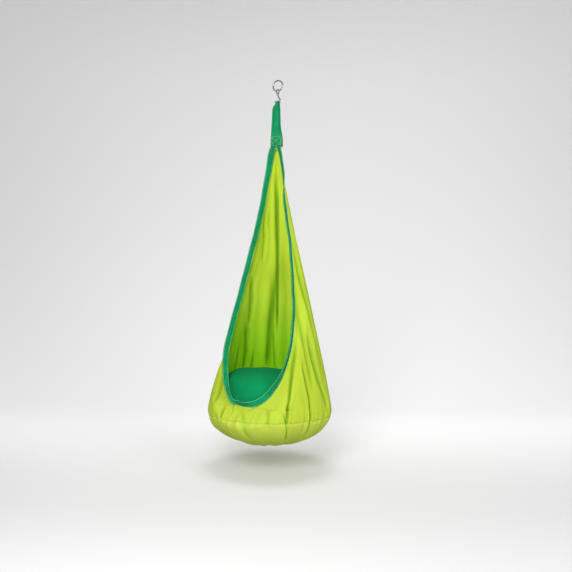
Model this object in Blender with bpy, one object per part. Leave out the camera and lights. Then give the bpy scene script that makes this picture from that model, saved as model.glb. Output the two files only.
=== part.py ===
"""Child's hanging pod seat, hung from a swivel eye and an open hook.

Frame: metres, +Z up, origin at the inside top of the eye, where its support bears.
The opening faces -Y. The pod is a cloth cone that widens into a round bowl, and the
angle called turn is measured round it from the front, positive towards +X.
"""

from math import atan2, cos, degrees, exp, hypot, pi, radians, sin, sqrt

import bmesh
import bpy
from mathutils import Matrix, Vector

# Steel hardware
EYE_WIRE_RADIUS = 0.00325
EYE_MEAN_RADIUS = 0.0230
BOSS_RADIUS = 0.0066
BOSS_TOP = -0.03825
BOSS_BOTTOM = -0.0495
BOSS_BORE_RADIUS = 0.0034
HOOK_WIRE_RADIUS = 0.0030
WASHER_RADIUS = 0.0056
WASHER_THICKNESS = 0.0012
HEAD_RADIUS = 0.0050
HEAD_HEIGHT = 0.0034
COLLAR_RADIUS = 0.0068
COLLAR_HEIGHT = 0.0055
SADDLE_Z = -0.094
HOOK_HALF_WIDTH = 0.012
RUNNING_GAP = 0.0003

# Webbing loop over the hook
LOOP_BOTTOM = -0.284
LOOP_INNER_RADIUS = HOOK_WIRE_RADIUS + 0.0005

# Cloth cone: its half angle, its lean and the size of the gathered bundle at its top
CONE_SLOPE = 0.241
CONE_APEX = -0.314
GATHER_RADIUS = 0.020
GATHER_TOP = -0.240
GATHER_FLATNESS = 0.42
CLOTH_TOP = -0.300
LEAN_SLOPE = 0.0402
LEAN_START = -0.300
CLOTH_THICKNESS = 0.0024

# Bowl under the cone
BOWL_RADIUS = 0.264
BOWL_DEPTH = 0.144
BASE_SEAM = -1.430

# Opening: the V where it starts, its lowest point, and how far its front is drawn in
V_POINT = -0.290
OPENING_DROP = 1.078
OPENING_BOTTOM = CLOTH_TOP - OPENING_DROP
DRAWN_IN_SIDE = 0.10
DRAWN_IN_FRONT = 0.19
DRAWN_SPAN_SIDE = 0.060
DRAWN_SPAN_FRONT = 0.082
CLOSING_LENGTH = 0.055
EDGE_FULLNESS = 1.4
EDGE_ROUNDNESS = 2.5
WIDE_OPENING = -0.60
APRON_TURN = 40.0
SIDE_TURN = 115.0

# Edge binding
BINDING_WIDTH = 0.028
BINDING_THICKNESS = 0.0024
BINDING_TOP = -0.246
BINDING_GAP = 0.0028
RIM_TURN = 36.0
SEAM_GAP = 0.0012

# Inflated seat cushion
CUSHION_RADIUS = 0.220
CUSHION_RISE = 0.172
CUSHION_DROP = 0.126
CUSHION_MIDDLE = -1.420
CUSHION_FULLNESS = 2.3
CUSHION_FORWARD = 0.022
CUSHION_BACK = 0.016
CUSHION_CLEARANCE = 0.009
COVER_THICKNESS = 0.0014
COVER_GAP = 0.0012
BLADDER_THICKNESS = 0.0006
VALVE_RADIUS = 0.0080
ZIP_HALF_ANGLE = 52.0
ZIP_HALF_WIDTH = 0.011
ZIP_THICKNESS = 0.0014

COLUMNS = 30


def clear_scene():
    for thing in list(bpy.data.objects):
        bpy.data.objects.remove(thing)


def material(name, color, roughness, metallic=0.0):
    made = bpy.data.materials.new(name)
    made.use_nodes = True
    shader = made.node_tree.nodes["Principled BSDF"]
    shader.inputs["Base Color"].default_value = (*color, 1.0)
    shader.inputs["Roughness"].default_value = roughness
    shader.inputs["Metallic"].default_value = metallic
    return made


def smooth_step(low, high, value):
    share = min(1.0, max(0.0, (value - low) / (high - low)))
    return share * share * (3 - 2 * share)


def mix(start, end, share):
    return start + (end - start) * share


def spread(start, end, count):
    return [mix(start, end, i / (count - 1)) for i in range(count)]


# ---------------------------------------------------------------- pod surface

def lean(z):
    """How far the pod's centre line stands forward of the eye at height z."""
    return -LEAN_SLOPE * max(0.0, LEAN_START - z)


def bowl_blend():
    """The height where the cone runs tangent into the bowl, and the bowl's centre."""
    tangent = CONE_SLOPE * BOWL_DEPTH / BOWL_RADIUS
    across = 1 / sqrt(1 + tangent * tangent)
    height = CONE_APEX - BOWL_RADIUS * across / CONE_SLOPE
    return height, height - BOWL_DEPTH * tangent * across


BOWL_TOP, BOWL_CENTRE = bowl_blend()
BOWL_BOTTOM = BOWL_CENTRE - BOWL_DEPTH


def pod_radius(z):
    if z > BOWL_TOP:
        return hypot(GATHER_RADIUS, CONE_SLOPE * (CONE_APEX - z))
    return BOWL_RADIUS * sqrt(max(0.0, 1 - ((BOWL_CENTRE - z) / BOWL_DEPTH) ** 2))


def edge_distance(turn, z):
    """How far a point lies from the opening's edge, along the cloth, roughly."""
    around = abs((turn + 180) % 360 - 180)
    across = max(0.0, radians(around - edge_turn(z)) * pod_radius(z))
    if around >= 90:
        return across
    below = max(0.0, edge_height(around) - z)
    if z < OPENING_BOTTOM:
        return below
    return across * below / max(1e-6, hypot(across, below))


def pod_point(turn, z):
    """A point of the pod's outer surface. The cloth is drawn in towards the opening."""
    draw = mix(DRAWN_IN_SIDE, DRAWN_IN_FRONT, smooth_step(1.15, 1.34, -z))
    draw *= smooth_step(-CLOTH_TOP, -WIDE_OPENING, -z)
    span = mix(DRAWN_SPAN_SIDE, DRAWN_SPAN_FRONT, smooth_step(1.20, 1.36, -z))
    draw *= 1 - smooth_step(0.0, span, edge_distance(turn, z))
    reach = pod_radius(z) * (1 - draw)
    flat = mix(GATHER_FLATNESS, 1.0, smooth_step(-CLOTH_TOP, 0.50, -z))
    return Vector((
        reach * sin(radians(turn)),
        lean(z) - flat * reach * cos(radians(turn)),
        z,
    ))


def lining_point(turn, z):
    """The point under pod_point on the cloth's inner face."""
    around = pod_point(turn + 0.5, z) - pod_point(turn - 0.5, z)
    down = pod_point(turn, z - 0.002) - pod_point(turn, z + 0.002)
    return pod_point(turn, z) + around.cross(down).normalized() * CLOTH_THICKNESS


def edge_turn(z):
    """The turn, in degrees, at which the opening's edge lies at height z."""
    if z >= V_POINT:
        return 0.0
    drop = min(1.0, max(0.0, CLOTH_TOP - z) / OPENING_DROP)
    closing = 1 - exp((z - V_POINT) / CLOSING_LENGTH)
    return 90 * (1 - drop ** EDGE_FULLNESS) ** (1 / EDGE_ROUNDNESS) * closing


def edge_height(turn):
    """The height of the opening's lower edge at this turn."""
    across = (abs(turn) / 90) ** EDGE_ROUNDNESS
    return CLOTH_TOP - OPENING_DROP * (1 - across) ** (1 / EDGE_FULLNESS)


# ------------------------------------------------------------- mesh builders

def finish(name, mesh, made):
    """The bmesh as a named object with its normals facing out."""
    bmesh.ops.recalc_face_normals(mesh, faces=mesh.faces)
    data = bpy.data.meshes.new(name)
    mesh.to_mesh(data)
    mesh.free()
    data.materials.append(made)
    data.shade_smooth()
    data.set_sharp_from_angle(angle=radians(40))
    made_object = bpy.data.objects.new(name, data)
    bpy.context.scene.collection.objects.link(made_object)
    return made_object


def grid_normals(grid, closed):
    """Unit normals of a grid of points, from its neighbours along rows and columns."""
    rows = len(grid)
    columns = len(grid[0])
    normals = []
    for i in range(rows):
        line = []
        for j in range(columns):
            down = grid[min(i + 1, rows - 1)][j] - grid[max(i - 1, 0)][j]
            if closed:
                along = grid[i][(j + 1) % columns] - grid[i][j - 1]
            else:
                along = grid[i][min(j + 1, columns - 1)] - grid[i][max(j - 1, 0)]
            line.append(along.cross(down).normalized())
        normals.append(line)
    return normals


def outward(grid, closed):
    """The normals turned so that they point away from the pod's centre line."""
    normals = grid_normals(grid, closed)
    middle = grid[len(grid) // 2][len(grid[0]) // 2]
    reference = Vector((middle.x, middle.y - lean(middle.z), 0.0))
    if normals[len(grid) // 2][len(grid[0]) // 2].dot(reference) < 0:
        normals = [[-normal for normal in line] for line in normals]
    return normals


def offset(grid, distance, closed):
    normals = outward(grid, closed)
    return [
        [point + normal * distance for point, normal in zip(line, directions)]
        for line, directions in zip(grid, normals)
    ]


def shell(name, outer, inner, made, closed=False, capped=False):
    """A closed skin between two grids. A closed grid wraps its columns, and a capped
    one ends in a disc at its last row in place of an open rim."""
    mesh = bmesh.new()
    rows = len(outer)
    columns = len(outer[0])
    skins = [[[mesh.verts.new(p) for p in line] for line in grid] for grid in (outer, inner)]
    wrap = columns if closed else columns - 1
    for skin in skins:
        for i in range(rows - 1):
            for j in range(wrap):
                k = (j + 1) % columns
                mesh.faces.new((skin[i][j], skin[i][k], skin[i + 1][k], skin[i + 1][j]))
    for row in (0, rows - 1):
        if row and capped:
            for skin in skins:
                mesh.faces.new(skin[row])
            continue
        for j in range(wrap):
            k = (j + 1) % columns
            mesh.faces.new((skins[0][row][j], skins[0][row][k], skins[1][row][k], skins[1][row][j]))
    if not closed:
        for column in (0, columns - 1):
            for i in range(rows - 1):
                mesh.faces.new((
                    skins[0][i][column],
                    skins[0][i + 1][column],
                    skins[1][i + 1][column],
                    skins[1][i][column],
                ))
    return finish(name, mesh, made)


def loft(name, rings, made):
    """A solid through closed rings of points, with a flat cap at each end."""
    mesh = bmesh.new()
    lines = [[mesh.verts.new(point) for point in ring] for ring in rings]
    count = len(lines[0])
    for low, high in zip(lines, lines[1:]):
        for j in range(count):
            k = (j + 1) % count
            mesh.faces.new((low[j], low[k], high[k], high[j]))
    mesh.faces.new(lines[0])
    mesh.faces.new(lines[-1])
    return finish(name, mesh, made)


def lathe(name, profile, made, sides=24):
    """A solid of revolution about Z from (radius, height) pairs that start and end on it."""
    rings = []
    for radius, height in profile:
        rings.append([
            Vector((radius * cos(2 * pi * j / sides), radius * sin(2 * pi * j / sides), height))
            for j in range(sides)
        ])
    return loft(name, rings, made)


def curve_through(points, count):
    """Points evenly placed in parameter along a Catmull-Rom curve through the given ones."""
    padded = [2 * points[0] - points[1], *points, 2 * points[-1] - points[-2]]
    spans = len(points) - 1
    found = []
    for step in range(count):
        place = min(step / (count - 1) * spans, spans - 1e-9)
        i = int(place)
        t = place - i
        a, b, c, d = padded[i:i + 4]
        found.append(0.5 * (
            2 * b + (c - a) * t + (2 * a - 5 * b + 4 * c - d) * t * t
            + (3 * b - a - 3 * c + d) * t ** 3
        ))
    return found


def wire(name, points, radius, made, side, sides=14):
    """A round bar along the points, which all lie in the plane normal to side."""
    rings = []
    for i, point in enumerate(points):
        ahead = points[min(i + 1, len(points) - 1)] - points[max(i - 1, 0)]
        up = ahead.normalized().cross(side)
        rings.append([
            point + radius * (cos(2 * pi * j / sides) * side + sin(2 * pi * j / sides) * up)
            for j in range(sides)
        ])
    return loft(name, rings, made)


def ribbon(name, samples, made):
    """A flat band through (centre, direction across, width, thickness) samples."""
    rings = []
    for i, (centre, across, width, thickness) in enumerate(samples):
        ahead = samples[min(i + 1, len(samples) - 1)][0] - samples[max(i - 1, 0)][0]
        ahead.normalize()
        across = (across - ahead * across.dot(ahead)).normalized()
        face = ahead.cross(across) * (thickness / 2)
        side = across * (width / 2)
        rings.append([centre + side + face, centre - side + face, centre - side - face, centre + side - face])
    return loft(name, rings, made)


def combine(target, other, operation):
    """Applies a Boolean of other to target, and leaves other as a hidden helper."""
    other.hide_render = True
    other.display_type = "WIRE"
    change = target.modifiers.new(other.name, "BOOLEAN")
    change.operation = operation
    change.object = other
    change.solver = "EXACT"


# ------------------------------------------------------------------ hardware

def make_eye(steel):
    """A round eye with a bored boss at its foot."""
    middle = -(EYE_MEAN_RADIUS - EYE_WIRE_RADIUS)
    mesh = bmesh.new()
    around = 40
    section = 14
    rings = []
    for i in range(around):
        angle = 2 * pi * i / around
        spoke = Vector((cos(angle), 0.0, sin(angle)))
        ring = []
        for j in range(section):
            turn = 2 * pi * j / section
            reach = EYE_MEAN_RADIUS + EYE_WIRE_RADIUS * cos(turn)
            ring.append(mesh.verts.new(
                Vector((0, EYE_WIRE_RADIUS * sin(turn), middle)) + spoke * reach
            ))
        rings.append(ring)
    for i in range(around):
        for j in range(section):
            ahead = rings[(i + 1) % around]
            k = (j + 1) % section
            mesh.faces.new((rings[i][j], rings[i][k], ahead[k], ahead[j]))
    eye = finish("swivel_eye", mesh, steel)
    bevel = 0.0012
    boss = lathe("boss_helper", (
        (BOSS_RADIUS - bevel, BOSS_TOP),
        (BOSS_RADIUS, BOSS_TOP - bevel),
        (BOSS_RADIUS, BOSS_BOTTOM + 2 * bevel),
        (BOSS_RADIUS - 2 * bevel, BOSS_BOTTOM),
    ), steel)
    bore = lathe("bore_helper", (
        (BOSS_BORE_RADIUS, BOSS_TOP + 0.004),
        (BOSS_BORE_RADIUS, BOSS_BOTTOM - 0.004),
    ), steel)
    combine(eye, boss, "UNION")
    combine(eye, bore, "DIFFERENCE")


def make_washer(steel):
    low = BOSS_TOP + RUNNING_GAP
    inner = HOOK_WIRE_RADIUS + RUNNING_GAP
    outer_wall = []
    inner_wall = []
    for height in (low, low + WASHER_THICKNESS):
        outer_wall.append(circle(WASHER_RADIUS, height, 24))
        inner_wall.append(circle(inner, height, 24))
    shell("swivel_washer", outer_wall, inner_wall, steel, closed=True)
    return low + WASHER_THICKNESS + RUNNING_GAP


def circle(radius, z, sides):
    return [
        Vector((radius * cos(2 * pi * j / sides), radius * sin(2 * pi * j / sides), z))
        for j in range(sides)
    ]


def hook_path():
    """The hook's wire, from inside its collar round the saddle to its tip."""
    wide = HOOK_HALF_WIDTH
    route = (
        (0.0, BOSS_BOTTOM - 0.004),
        (0.0006, -0.0615),
        (0.0055, -0.0715),
        (wide - 0.0008, -0.0800),
        (wide, -0.0868),
        (wide * 0.80, SADDLE_Z + 0.0014),
        (wide * 0.42, SADDLE_Z),
        (-wide * 0.42, SADDLE_Z),
        (-wide * 0.80, SADDLE_Z + 0.0014),
        (-wide, -0.0870),
        (-wide * 1.02, -0.0835),
    )
    return curve_through([Vector((x, 0.0, z)) for x, z in route], 44)


def make_hook(steel, head_base):
    """The hook, its collar, and the shank and peened head that hold it in the eye."""
    hook = wire("swivel_hook", hook_path(), HOOK_WIRE_RADIUS, steel, Vector((0, 1, 0)))
    collar_top = BOSS_BOTTOM - RUNNING_GAP
    collar_foot = collar_top - COLLAR_HEIGHT
    chamfer = 0.0010
    shank = lathe("shank_helper", (
        (HEAD_RADIUS * 0.55, head_base + HEAD_HEIGHT),
        (HEAD_RADIUS * 0.90, head_base + HEAD_HEIGHT * 0.6),
        (HEAD_RADIUS, head_base),
        (HOOK_WIRE_RADIUS, head_base - 0.00005),
        (HOOK_WIRE_RADIUS, collar_top),
        (COLLAR_RADIUS - chamfer, collar_top - 0.00005),
        (COLLAR_RADIUS, collar_top - chamfer),
        (COLLAR_RADIUS, collar_foot + 2 * chamfer),
        (HOOK_WIRE_RADIUS + chamfer, collar_foot),
    ), steel)
    combine(hook, shank, "UNION")


# ------------------------------------------------------------------- webbing

def loop_samples():
    """The webbing loop: up the front, over the hook bunched narrow, and down the back."""
    gather = GATHER_RADIUS * GATHER_FLATNESS
    strap = 0.0030
    foot = gather + 3 * SEAM_GAP / 2 + BINDING_THICKNESS + strap / 2 + 0.0006
    straight = (
        (foot, LOOP_BOTTOM, 0.050, strap),
        (foot, -0.256, 0.047, strap),
        (foot - 0.001, -0.236, 0.044, strap),
        (0.0105, -0.212, 0.039, strap),
        (0.0064, -0.186, 0.035, strap),
        (0.0056, -0.160, 0.032, strap),
        (0.0062, -0.136, 0.028, 0.0036),
        (0.0068, -0.116, 0.020, 0.0048),
        (LOOP_INNER_RADIUS + 0.0030, -0.102, 0.0128, 0.0058),
    )
    side = Vector((1, 0, 0))
    front = [(Vector((0, -y, z)), side, width, thick) for y, z, width, thick in straight]
    back = [(Vector((0, y, z)), side, width, thick) for y, z, width, thick in reversed(straight)]
    thick = 0.0060
    reach = LOOP_INNER_RADIUS + thick / 2
    over = []
    for angle in spread(180, 0, 9):
        place = Vector((0, reach * cos(radians(angle)), SADDLE_Z + reach * sin(radians(angle))))
        over.append((place, side, 0.0104, thick))
    return front + over + back


def make_gather(cloth):
    """The pod's cloth, gathered flat between the ends of the loop."""
    rings = []
    for z in (GATHER_TOP, -0.250, -0.275, CLOTH_TOP + SEAM_GAP):
        rings.append([
            Vector((GATHER_RADIUS * cos(2 * pi * j / 28), GATHER_FLATNESS * GATHER_RADIUS * sin(2 * pi * j / 28), z))
            for j in range(28)
        ])
    loft("top_gather", rings, cloth)


def side_direction(z):
    """How the binding stands on the side edges: flat at the top, flared further down."""
    flare = 28 + 62 * exp(-max(0.0, LOOP_BOTTOM - z) / 0.060)
    return Vector((sin(radians(flare)), -cos(radians(flare)), 0.0))


def rim_direction(turn, z):
    """Up the cloth's own surface."""
    return (pod_point(turn, z + 0.002) - pod_point(turn, z - 0.012)).normalized()


def binding_sample(turn, z):
    """The binding's centre beside the cloth's edge, for the right half."""
    share = smooth_step(14.0, 52.0, turn) if z < -0.6 else 1.0
    across = rim_direction(turn, z) * (1 - share) + side_direction(z) * share
    return pod_point(turn, z), across.normalized()


def binding_samples(places):
    """Samples for ribbon, with the direction across made square to the edge first."""
    edge = [binding_sample(turn, z) for turn, z in places]
    samples = []
    for i, (point, across) in enumerate(edge):
        ahead = edge[min(i + 1, len(edge) - 1)][0] - edge[max(i - 1, 0)][0]
        ahead.normalize()
        across = (across - ahead * across.dot(ahead)).normalized()
        centre = point + across * (BINDING_WIDTH / 2 + BINDING_GAP)
        samples.append((centre, across, BINDING_WIDTH, BINDING_THICKNESS))
    return samples


def mirrored(samples):
    flip = Vector((-1, 1, 1))
    return [(centre * flip, across * flip, width, thick) for centre, across, width, thick in samples]


def top_samples():
    """The flat stretch of the right binding, sewn side by side in front of the gather."""
    forward = -GATHER_FLATNESS * GATHER_RADIUS - SEAM_GAP / 2 - BINDING_THICKNESS / 2
    centre = BINDING_WIDTH / 2 + 0.0004
    return [
        (Vector((centre, forward, z)), Vector((1, 0, 0)), BINDING_WIDTH, BINDING_THICKNESS)
        for z in (BINDING_TOP, -0.266, LOOP_BOTTOM - 0.002)
    ]


def make_bindings(webbing):
    last = edge_height(RIM_TURN)
    heights = spread(CLOTH_TOP, last, 34)
    right = top_samples() + binding_samples([(edge_turn(z), z) for z in heights])
    ribbon("right_edge_binding", right, webbing)
    ribbon("left_edge_binding", mirrored(right), webbing)
    half = binding_samples([(turn, edge_height(turn)) for turn in spread(RIM_TURN - 0.4, 0.0, 10)])
    whole = half + [sample for sample in reversed(mirrored(half[:-1]))]
    ribbon("front_rim_binding", whole, webbing)


# ---------------------------------------------------------------- pod panels

def side_rows():
    """Heights of the panels' rows, closer together where the pod turns into its bowl."""
    cone = spread(CLOTH_TOP, -1.20, 13)
    return cone + spread(-1.24, BASE_SEAM + SEAM_GAP / 2, 8)


def seam_margin(z):
    """Half the gap between two panels, as a turn."""
    return degrees(SEAM_GAP / 2 / pod_radius(z))


def side_start(z):
    """Where a side panel starts: at the opening's edge, and lower down beside the apron."""
    if z > WIDE_OPENING:
        return edge_turn(z)
    return max(edge_turn(z), APRON_TURN + seam_margin(z))


def side_end(z):
    return SIDE_TURN - seam_margin(z)


def back_start(z):
    return SIDE_TURN + seam_margin(z)


def back_end(z):
    return 180.0 - seam_margin(z)


def panel(name, sign, start, end, columns, cloth):
    """A cloth panel between two turns that follow the height. The left ones are mirrored."""
    skins = [
        [[skin(sign * turn, z) for turn in spread(start(z), end(z), columns)] for z in side_rows()]
        for skin in (pod_point, lining_point)
    ]
    shell(name, *skins, cloth)


def make_apron(cloth):
    """The cloth under the opening's rim, down to the base seam."""
    half = APRON_TURN - degrees(SEAM_GAP / 2 / BOWL_RADIUS)
    foot = BASE_SEAM + SEAM_GAP / 2
    skins = [
        [
            [skin(turn, mix(edge_height(turn), foot, share)) for turn in spread(-half, half, 13)]
            for share in spread(0.0, 1.0, 8)
        ]
        for skin in (pod_point, lining_point)
    ]
    shell("front_apron", *skins, cloth)


def make_base(cloth):
    """The round base: its middle is flat, and it is closed there by a small disc."""
    grid = []
    low = BOWL_BOTTOM + 0.0004
    for share in (0.0, 0.16, 0.34, 0.54, 0.72, 0.86, 0.95, 1.0):
        z = mix(BASE_SEAM - 2 * SEAM_GAP, low, share)
        grid.append([pod_point(360 * j / COLUMNS, z) for j in range(COLUMNS)])
    inner = offset(grid, -CLOTH_THICKNESS, True)
    for point in inner[-1]:
        point.z = low + CLOTH_THICKNESS
    shell("base_panel", grid, inner, cloth, closed=True, capped=True)


# ------------------------------------------------------------------- cushion

CUSHION_Y = lean(CUSHION_MIDDLE) + CUSHION_BACK


def cushion_room(turn, z):
    """How far the cushion may reach from the pod's centre line at this turn and height."""
    wall = pod_point(turn, z)
    return hypot(wall.x, wall.y - lean(z)) - CUSHION_CLEARANCE


def cushion_point(turn, share, inset):
    """A point of the cushion: share runs from -1 at its foot to 1 at its crown."""
    rise = CUSHION_RISE if share > 0 else CUSHION_DROP
    radius = CUSHION_RADIUS * (1 - abs(share) ** CUSHION_FULLNESS) ** (1 / CUSHION_FULLNESS)
    z = CUSHION_MIDDLE + share * rise
    forward = CUSHION_FORWARD * smooth_step(0.0, 1.0, share)
    middle = Vector((0, CUSHION_Y - forward, 0))
    place = middle + radius * Vector((sin(radians(turn)), -cos(radians(turn)), 0))
    axis = Vector((0, lean(z), 0))
    spoke = place - axis
    room = cushion_room(degrees(atan2(spoke.x, -spoke.y)), z)
    if spoke.length > room:
        place = axis + spoke * (room / spoke.length)
    place.z = z
    middle.z = CUSHION_MIDDLE
    return place - (place - middle).normalized() * inset


def cushion_grid(shares, inset):
    return [
        [cushion_point(360 * j / COLUMNS, share, inset) for j in range(COLUMNS)]
        for share in shares
    ]


def make_cushion(cover, vinyl, zip_cloth, zip_metal):
    """Two cover halves that meet at the middle seam, the bladder inside, and the zip."""
    top_shares = (0.004, 0.22, 0.44, 0.64, 0.81, 0.93, 0.985, 0.9985)
    base_shares = tuple(-share for share in top_shares)
    for name, shares in (("cushion_cover_top", top_shares), ("cushion_cover_base", base_shares)):
        outer = cushion_grid(shares, 0.0)
        inner = cushion_grid(shares, COVER_THICKNESS)
        shell(name, outer, inner, cover, closed=True, capped=True)
    skin = COVER_THICKNESS + COVER_GAP
    foot_up = tuple(reversed(base_shares)) + top_shares
    walls = [cushion_grid(foot_up, inset) for inset in (skin, skin + BLADDER_THICKNESS)]
    for wall in walls:
        wall.insert(0, [
            Vector((0, CUSHION_Y, wall[0][0].z))
            + (VALVE_RADIUS + RUNNING_GAP) * Vector((sin(turn), -cos(turn), 0))
            for turn in (2 * pi * j / COLUMNS for j in range(COLUMNS))
        ])
    shell("air_bladder", walls[0], walls[1], vinyl, closed=True, capped=True)
    make_valve(Vector((0, CUSHION_Y, 0)), walls[0][0][0].z, vinyl)
    make_zip(zip_cloth, zip_metal)


def make_valve(centre, low_z, vinyl):
    """A short valve stem in the bladder's foot, with its plug inside it."""
    bore = 0.0046
    bottom = low_z
    top = low_z + 0.014
    outer_wall = [[centre + p for p in circle(VALVE_RADIUS, z, 20)] for z in (bottom, top)]
    inner_wall = [[centre + p for p in circle(bore, z, 20)] for z in (bottom, top)]
    shell("valve_stem", outer_wall, inner_wall, vinyl, closed=True)
    plug = [[centre + p for p in circle(bore - RUNNING_GAP, z, 20)] for z in (bottom, bottom + 0.010)]
    loft("valve_plug", plug, vinyl)


def equator_point(turn, height, stand_off):
    """A point beside the cushion's middle seam at the back."""
    reach = CUSHION_RADIUS + stand_off
    return Vector((
        reach * sin(radians(turn)),
        CUSHION_Y - reach * cos(radians(turn)),
        CUSHION_MIDDLE + height,
    ))


def make_zip(zip_cloth, zip_metal):
    """A closed zip over the seam at the cushion's back, and its slider with a pull tab."""
    start = 180 - ZIP_HALF_ANGLE
    end = 180 + ZIP_HALF_ANGLE
    turns = spread(start, end, 19)
    stand_off = 0.0004
    outer = []
    inner = []
    for height in (-ZIP_HALF_WIDTH, ZIP_HALF_WIDTH):
        outer.append([equator_point(turn, height, stand_off + ZIP_THICKNESS) for turn in turns])
        inner.append([equator_point(turn, height, stand_off) for turn in turns])
    shell("cushion_zip", outer, inner, zip_cloth)
    slider_turn = end - 4
    face = stand_off + ZIP_THICKNESS + RUNNING_GAP
    along = equator_point(slider_turn + 0.5, 0, 0) - equator_point(slider_turn - 0.5, 0, 0)
    along.normalize()
    out = Vector((0, 0, 1)).cross(along)
    if out.dot(equator_point(slider_turn, 0, 0) - Vector((0, CUSHION_Y, CUSHION_MIDDLE))) < 0:
        out = -out
    base = equator_point(slider_turn, 0, face + 0.0003)
    body = ((-0.0055, 0.0032), (-0.0020, 0.0046), (0.0055, 0.0046))
    rings = []
    for reach, half in body:
        foot = base + along * reach
        rings.append([
            foot + Vector((0, 0, half)),
            foot + Vector((0, 0, half)) + out * 0.0028,
            foot - Vector((0, 0, half)) + out * 0.0028,
            foot - Vector((0, 0, half)),
        ])
    loft("zip_slider", rings, zip_metal)


def hang_from(names, point):
    """Puts the objects' origins on their joint's axis and leaves their shapes in place."""
    for name in names:
        made = bpy.data.objects[name]
        made.data.transform(Matrix.Translation(-point))
        made.location = point


def main():
    clear_scene()
    steel = material("steel", (0.42, 0.42, 0.41), 0.34, 1.0)
    webbing = material("green_webbing", (0.010, 0.33, 0.13), 0.80)
    cloth = material("lime_cotton", (0.50, 0.70, 0.055), 0.88)
    base_cloth = material("lime_cotton_base", (0.42, 0.56, 0.055), 0.88)
    cover = material("green_cotton", (0.005, 0.29, 0.09), 0.85)
    vinyl = material("clear_vinyl", (0.62, 0.66, 0.68), 0.35)
    zip_cloth = material("zip_tape", (0.008, 0.24, 0.08), 0.75)
    zip_metal = material("zip_metal", (0.50, 0.50, 0.50), 0.30, 1.0)
    make_eye(steel)
    head_base = make_washer(steel)
    make_hook(steel, head_base)
    ribbon("hanging_loop", loop_samples(), webbing)
    make_gather(cloth)
    make_bindings(webbing)
    for side, sign in (("right", 1), ("left", -1)):
        panel(side + "_side_panel", sign, side_start, side_end, 8, cloth)
        panel("back_" + side + "_panel", sign, back_start, back_end, 6, cloth)
    make_apron(cloth)
    make_base(base_cloth)
    make_cushion(cover, vinyl, zip_cloth, zip_metal)
    still = ("swivel_eye", "swivel_washer", "swivel_hook", "zip_slider")
    shown = [made.name for made in bpy.data.objects if not made.hide_render]
    hang_from(("swivel_washer", "swivel_hook"), Vector((0, 0, BOSS_BOTTOM)))
    hang_from([name for name in shown if name not in still], Vector((0, 0, SADDLE_Z)))
    hang_from(("zip_slider",), Vector((0, CUSHION_Y, CUSHION_MIDDLE)))


main()
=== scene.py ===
"""Looks of the child's hanging pod seat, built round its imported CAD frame.

Everything is in metres in the part's own frame: +Z up, the origin at the inside top of
the eye, the opening facing -Y. The angle called turn runs round the pod from its front,
in degrees, positive towards +X. The pod's surface is the same formula as in the part.
"""

from math import cos, pi, radians, sin, sqrt

import bmesh
import bpy
import numpy as np
from mathutils import Matrix, Vector


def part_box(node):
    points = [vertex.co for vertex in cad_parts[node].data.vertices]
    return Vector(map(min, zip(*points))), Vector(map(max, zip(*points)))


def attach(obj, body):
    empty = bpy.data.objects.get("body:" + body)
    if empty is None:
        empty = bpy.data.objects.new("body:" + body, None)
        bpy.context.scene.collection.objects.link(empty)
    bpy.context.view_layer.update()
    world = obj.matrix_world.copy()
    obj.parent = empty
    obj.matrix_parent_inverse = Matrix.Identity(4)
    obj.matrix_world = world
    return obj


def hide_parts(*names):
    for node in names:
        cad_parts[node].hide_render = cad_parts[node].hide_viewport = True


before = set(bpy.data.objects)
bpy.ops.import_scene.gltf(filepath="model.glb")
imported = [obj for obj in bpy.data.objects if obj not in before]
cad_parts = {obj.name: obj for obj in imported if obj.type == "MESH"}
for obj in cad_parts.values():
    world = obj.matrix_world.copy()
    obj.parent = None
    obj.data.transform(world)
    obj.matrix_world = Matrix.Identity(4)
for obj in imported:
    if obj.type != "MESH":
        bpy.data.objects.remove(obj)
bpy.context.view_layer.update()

# ------------------------------------------------------------------ driving sizes

# the steel eye and hook
EYE_WIRE_RADIUS = 0.00325
EYE_MEAN_RADIUS = 0.0230
BOSS_RADIUS = 0.0066
BOSS_TOP = -0.03825
BOSS_BOTTOM = -0.0495
BOSS_BORE_RADIUS = 0.0034
HOOK_WIRE_RADIUS = 0.0030
HOOK_HALF_WIDTH = 0.012
HEAD_RADIUS = 0.0050
COLLAR_RADIUS = 0.0068
COLLAR_HEIGHT = 0.0055
SADDLE_Z = -0.094
# the cloth
GATHER_RADIUS = 0.020
GATHER_FLATNESS = 0.42
CONE_SLOPE = 0.241
CONE_APEX = -0.314
CLOTH_TOP = -0.300
LEAN_SLOPE = 0.0402
BOWL_RADIUS = 0.264
BOWL_DEPTH = 0.144
BASE_SEAM = -1.430
V_POINT = -0.290
V_ROUNDING = 0.055
OPENING_DROP = 1.078
OPENING_DROP_POWER = 1.4
OPENING_TURN_POWER = 2.5
OPENING_BOTTOM = CLOTH_TOP - OPENING_DROP
DRAWN_IN_SIDE = 0.10
DRAWN_IN_FRONT = 0.19
DRAWN_SPAN_SIDE = 0.060
DRAWN_SPAN_FRONT = 0.082
BACK_FLATNESS = 0.80
CLOTH_THICKNESS = 0.0009
THREAD_PITCH = 0.00055
# the loop and the edge tape
LOOP_BOTTOM = -0.284
LOOP_THICKNESS = 0.0022
TAPE_WIDTH = 0.028
TAPE_THICKNESS = 0.0016
TAPE_OVERLAP = 0.0016
TAPE_RIBS = 3
TAPE_RIB_HEIGHT = 0.00055
TAPE_SPACING = 0.0022
RIB_PITCH = 0.0070
STITCH_PITCH = 0.0036
STITCH_LENGTH = 0.0027
THREAD_RADIUS = 0.00038
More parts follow.
